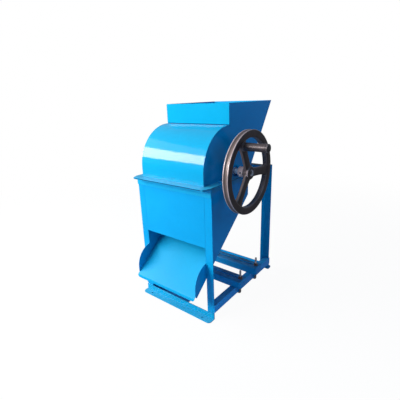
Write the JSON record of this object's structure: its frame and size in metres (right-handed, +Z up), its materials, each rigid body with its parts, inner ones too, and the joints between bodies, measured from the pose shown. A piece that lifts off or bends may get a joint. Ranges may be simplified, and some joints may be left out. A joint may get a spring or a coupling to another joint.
{
  "type": "peanut sheller",
  "caption": "Hopper-fed peanut sheller on an angle-iron frame: a rotor turns over a slotted grate by a spoked hand wheel, with a front discharge chute and motor rails.",
  "frame": {"origin": "middle of the bounding box on the floor", "axes": "+X to the side with the hand wheel, along the shaft; +Y from the discharge chute to the back; +Z up"},
  "size_m": [0.683, 0.713, 1],
  "materials": {
    "blue_paint": "gloss enamel paint",
    "worn_blue_paint": "dusty, worn enamel paint",
    "cast_iron": "oiled dark cast iron, polished by use on its edges",
    "steel": "turned steel",
    "dark_steel": "dark mill scale",
    "rusty_steel": "lightly rusted steel"
  },
  "bodies": {
    "frame": {"leg_front_left": "blue_paint", "leg_front_right": "blue_paint", "leg_rear_left": "blue_paint", "leg_rear_right": "blue_paint", "foot_rail_front": "blue_paint", "foot_rail_rear": "blue_paint", "side_rail_left": "blue_paint", "side_rail_right": "blue_paint", "top_angle_left": "blue_paint", "top_angle_right": "blue_paint", "top_angle_front": "blue_paint", "top_angle_rear": "blue_paint", "cross_angle": "blue_paint", "front_panel": "blue_paint", "box_side_left": "blue_paint", "box_side_right": "blue_paint", "box_rear_panel": "blue_paint", "chute_plate": "blue_paint", "hood_side_left": "blue_paint", "hood_side_right": "blue_paint", "drum_cover": "blue_paint", "hopper_front_wall": "blue_paint", "hopper_rear_wall": "blue_paint", "hood_flange_left": "blue_paint", "hood_flange_right": "blue_paint", "hood_flange_front": "blue_paint", "hood_flange_rear": "blue_paint", "bearing_housing_left": "blue_paint", "bearing_housing_right": "blue_paint", "bearing_outer_ring_left": "steel", "bearing_outer_ring_right": "steel", "grate": "dark_steel", "grate_ledge_front": "blue_paint", "grate_ledge_rear": "blue_paint"},
    "rotor": {"main_shaft": "steel", "rotor_spider_left": "dark_steel", "rotor_spider_right": "dark_steel", "beater_bar_1": "dark_steel", "beater_bar_2": "dark_steel", "beater_bar_3": "dark_steel", "beater_bar_4": "dark_steel", "bearing_inner_ring_left": "steel", "bearing_inner_ring_right": "steel", "hand_wheel": "cast_iron", "wheel_key": "steel", "wheel_set_screw": "dark_steel", "handle_stud": "cast_iron", "handle_nut": "dark_steel"},
    "grip": {"handle_grip": "cast_iron"},
    "front_motor_rail": {"motor_rail_front": "worn_blue_paint", "hook_bolt_front_left": "rusty_steel", "hook_bolt_front_right": "rusty_steel", "clamp_nut_front_left": "rusty_steel", "clamp_nut_front_right": "rusty_steel"},
    "rear_motor_rail": {"motor_rail_rear": "worn_blue_paint", "hook_bolt_rear_left": "rusty_steel", "hook_bolt_rear_right": "rusty_steel", "clamp_nut_rear_left": "rusty_steel", "clamp_nut_rear_right": "rusty_steel"}
  },
  "joints": [
    {"name": "rotor_spin", "type": "hinge", "parent": "frame", "child": "rotor", "pos_m": [0.1315, -0.0615, 0.698], "axis": [1, 0, 0], "continuous": true},
    {"name": "grip_spin", "type": "hinge", "parent": "rotor", "child": "grip", "pos_m": [0.2815, -0.11722, 0.82316], "axis": [1, 0, 0], "continuous": true},
    {"name": "front_rail_slide", "type": "slide", "parent": "frame", "child": "front_motor_rail", "axis": [0, 1, 0], "range_m": [-0.06, 0.04]},
    {"name": "rear_rail_slide", "type": "slide", "parent": "frame", "child": "rear_motor_rail", "axis": [0, 1, 0], "range_m": [-0.04, 0.08]}
  ]
}
